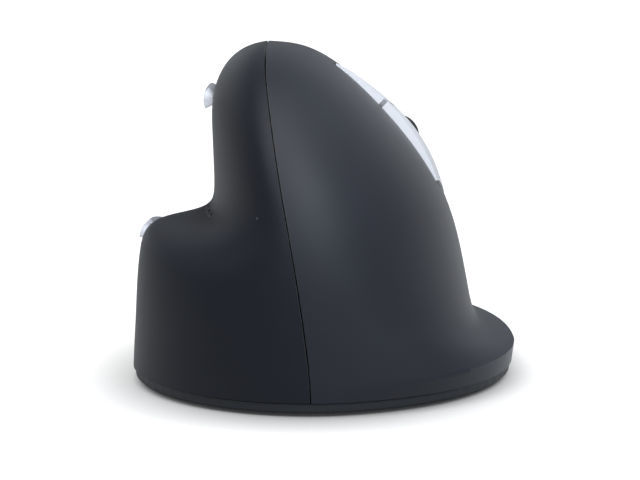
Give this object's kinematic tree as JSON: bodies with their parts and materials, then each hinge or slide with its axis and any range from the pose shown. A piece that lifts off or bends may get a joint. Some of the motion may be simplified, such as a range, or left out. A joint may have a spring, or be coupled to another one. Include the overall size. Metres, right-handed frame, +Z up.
{
  "type": "vertical computer mouse",
  "caption": "Right-handed vertical computer mouse with a thumb rest, little-finger ledge, sprung main and thumb buttons, scroll wheel, hinged battery door and glide feet.",
  "frame": {"origin": "on the desk under the middle of the body", "axes": "+X finger side, +Y away from the user, +Z up"},
  "size_m": [0.0793, 0.108, 0.0679],
  "materials": {
    "thumb_black": "soft-touch matt",
    "palm_black": "soft-touch matt",
    "base_black": "satin",
    "silver": "silver satin paint",
    "foot": "smooth",
    "steel": "plain",
    "frame_grey": "moulded",
    "board_green": "solder mask",
    "chip_black": "moulded",
    "clear": "clear moulded",
    "lamp": "plain",
    "cell_wrap": "plain film",
    "contact": "plated",
    "receiver_black": "moulded",
    "plug": "plated",
    "red_plunger": "moulded",
    "white_plunger": "moulded",
    "hub_black": "moulded",
    "rubber": "ribbed",
    "control_grey": "moulded"
  },
  "bodies": {
    "housing": {"base_plate": "base_black", "thumb_shell": "thumb_black", "palm_shell": "palm_black", "shelf_trim": "silver", "glide_feet": "foot", "base_screws": "steel", "inner_frame": "frame_grey", "main_board": "board_green", "finger_board": "board_green", "thumb_board": "board_green", "board_screws": "steel", "optical_sensor": "chip_black", "sensor_lens": "clear", "controller_chip": "chip_black", "indicator_lamps": "lamp", "light_guide": "clear", "left_switch": "chip_black", "right_switch": "chip_black", "wheel_switch": "chip_black", "forward_switch": "chip_black", "back_switch": "chip_black", "power_switch": "chip_black", "dpi_switch": "chip_black", "wheel_emitter": "lamp", "wheel_detector": "chip_black", "wheel_posts": "frame_grey", "hinge_pin": "steel", "inner_cell": "cell_wrap", "outer_cell": "cell_wrap", "cell_springs": "steel", "cell_contacts": "contact", "receiver_body": "receiver_black", "receiver_plug": "plug"},
    "left_button": {"left_button": "silver", "left_plunger": "red_plunger"},
    "right_button": {"right_button": "silver", "right_plunger": "red_plunger"},
    "wheel_carrier": {"wheel_carrier": "frame_grey", "wheel_plunger": "white_plunger", "wheel_axle": "steel"},
    "scroll_wheel": {"wheel_hub": "hub_black", "wheel_tyre": "rubber"},
    "forward_button": {"forward_button": "silver", "forward_plunger": "white_plunger"},
    "back_button": {"back_button": "silver", "back_plunger": "white_plunger"},
    "dpi_button": {"dpi_button": "control_grey", "dpi_plunger": "white_plunger"},
    "power_knob": {"power_knob": "control_grey"},
    "battery_door": {"battery_door": "base_black"}
  },
  "joints": [
    {"name": "left_click", "type": "hinge", "parent": "housing", "child": "left_button", "pos_m": [0.01079, 0.00101, 0.04644], "axis": [-0.6244, 0.1916, 0.7572], "range_deg": [0, 0.7], "stiffness_Nm_per_rad": 1.6},
    {"name": "right_click", "type": "hinge", "parent": "housing", "child": "right_button", "pos_m": [0.01079, 0.00101, 0.04644], "axis": [-0.6244, 0.1916, 0.7572], "range_deg": [0, 0.7], "stiffness_Nm_per_rad": 1.6},
    {"name": "wheel_click", "type": "hinge", "parent": "housing", "child": "wheel_carrier", "pos_m": [0.01231, 0.0109, 0.04518], "axis": [-0.6244, 0.1916, 0.7572], "range_deg": [0, 1], "stiffness_Nm_per_rad": 2},
    {"name": "wheel_spin", "type": "hinge", "parent": "wheel_carrier", "child": "scroll_wheel", "pos_m": [0.01146, 0.02319, 0.04137], "axis": [0.6244, -0.1916, -0.7572], "continuous": true},
    {"name": "forward_press", "type": "slide", "parent": "housing", "child": "forward_button", "axis": [0.988, -0.0958, -0.1215], "range_m": [0, 0.0005], "stiffness_N_per_m": 3000},
    {"name": "back_press", "type": "slide", "parent": "housing", "child": "back_button", "axis": [0.988, -0.0958, -0.1215], "range_m": [0, 0.0005], "stiffness_N_per_m": 3000},
    {"name": "dpi_press", "type": "slide", "parent": "housing", "child": "dpi_button", "axis": [0, 0, 1], "range_m": [0, 0.0005], "stiffness_N_per_m": 3000},
    {"name": "power_slide", "type": "slide", "parent": "housing", "child": "power_knob", "axis": [1, 0, 0], "range_m": [0, 0.004]},
    {"name": "door_swing", "type": "hinge", "parent": "housing", "child": "battery_door", "pos_m": [0.0103, -0.045, 0.0006], "axis": [-1, 0, 0], "range_deg": [0, 70]}
  ]
}
